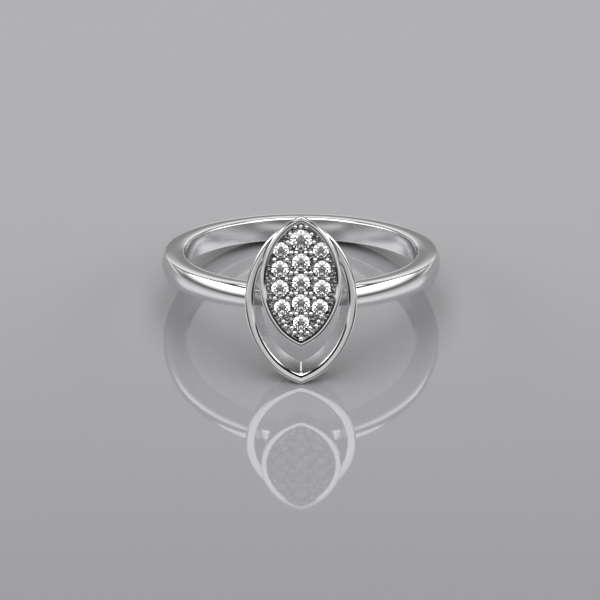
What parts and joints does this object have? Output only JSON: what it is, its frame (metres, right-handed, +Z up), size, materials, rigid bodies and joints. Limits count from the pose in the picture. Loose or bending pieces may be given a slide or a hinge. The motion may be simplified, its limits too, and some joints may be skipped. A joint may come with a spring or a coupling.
{
  "type": "navette ring",
  "caption": "Finger ring: a plain band, an open pointed-oval frame across it, and a raised pointed-oval cup inside the frame, paved with round brilliants held by small grains.",
  "frame": {"origin": "on the surface that the ring lies on, under the middle of its bounding box", "axes": "+Y from the head towards the back of the band; +X across the head; +Z up from the surface. The ring lies on its side, leaning on the back of the band and the lower tip of the open frame."},
  "size_m": [0.0206, 0.0216, 0.0126],
  "materials": {
    "silver": "mirror-polished sterling silver with a rhodium flash",
    "clear_stone": "clear, polished, faceted cubic zirconia"
  },
  "bodies": {
    "root": {"ring_body": "silver", "stone_1": "clear_stone", "stone_2": "clear_stone", "stone_3": "clear_stone", "stone_4": "clear_stone", "stone_5": "clear_stone", "stone_6": "clear_stone", "stone_7": "clear_stone", "stone_8": "clear_stone", "stone_9": "clear_stone", "stone_10": "clear_stone", "stone_11": "clear_stone", "stone_12": "clear_stone", "stone_13": "clear_stone"}
  },
  "joints": []
}
